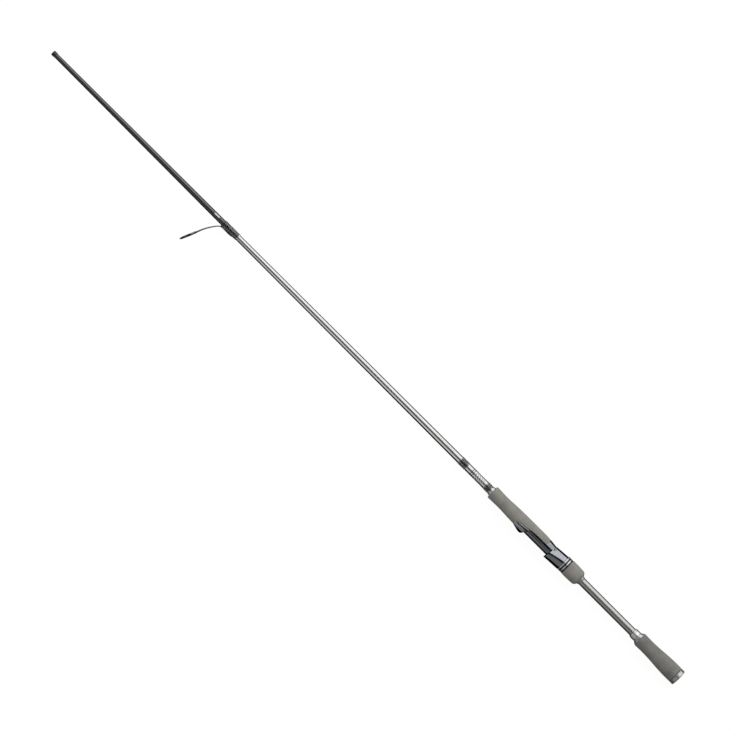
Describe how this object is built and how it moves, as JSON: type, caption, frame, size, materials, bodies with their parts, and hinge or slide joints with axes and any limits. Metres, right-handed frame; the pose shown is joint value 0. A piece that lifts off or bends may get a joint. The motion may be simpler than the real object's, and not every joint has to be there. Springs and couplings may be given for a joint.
{
  "type": "spinning rod butt section",
  "caption": "Hollow tapered butt section of a two-piece spinning rod with split foam handle, screw-locking reel seat and tilted single-foot line guide.",
  "frame": {"origin": "centre of the flat end face of the butt cap", "axes": "+X along the rod from the butt cap to the socket mouth, +Y towards the side that carries the reel and the guide, +Z across the rod, up when it lies on its side"},
  "size_m": [1.095, 0.0635, 0.025],
  "materials": {
    "blank_paint": "gloss",
    "gloss_black": "gloss",
    "hood_black": "gloss",
    "foam": "matte",
    "silver": "polished",
    "arbor_tape": "matte",
    "black_thread": "satin",
    "varnish": "gloss",
    "guide_metal": "polished",
    "guide_ceramic": "polished"
  },
  "bodies": {
    "rod": {"blank": "blank_paint", "ferrule_ring": "gloss_black", "butt_cap": "silver", "rear_grip": "foam", "rear_check_cone": "silver", "rear_check_collar": "silver", "tail_check": "silver", "seat_body": "gloss_black", "fixed_hood": "hood_black", "rear_arbor": "arbor_tape", "middle_arbor": "arbor_tape", "front_arbor": "arbor_tape", "foregrip": "foam", "foregrip_check": "silver", "rear_trim_wrap": "black_thread", "rear_trim_varnish": "varnish", "front_trim_wrap": "black_thread", "front_trim_varnish": "varnish", "guide_frame": "guide_metal", "guide_ring": "guide_ceramic", "guide_wrap": "black_thread", "guide_varnish": "varnish"},
    "hood": {"moving_hood": "hood_black"},
    "nut": {"nut_barrel": "gloss_black", "nut_grip": "foam", "black_nut_ring_rear": "gloss_black", "silver_nut_ring_rear": "silver", "black_nut_ring_front": "gloss_black", "silver_nut_ring_front": "silver"}
  },
  "joints": [
    {"name": "hood_slide", "type": "slide", "parent": "rod", "child": "hood", "axis": [1, 0, 0], "range_m": [-0.014, 0]},
    {"name": "nut_turn", "type": "hinge", "parent": "hood", "child": "nut", "pos_m": [0.188, 0, 0], "axis": [1, 0, 0], "range_deg": [-2520, 0]}
  ],
  "couplings": [
    {"joint": "hood_slide", "follows": "nut_turn", "m_per_rad": 0.00031831}
  ]
}
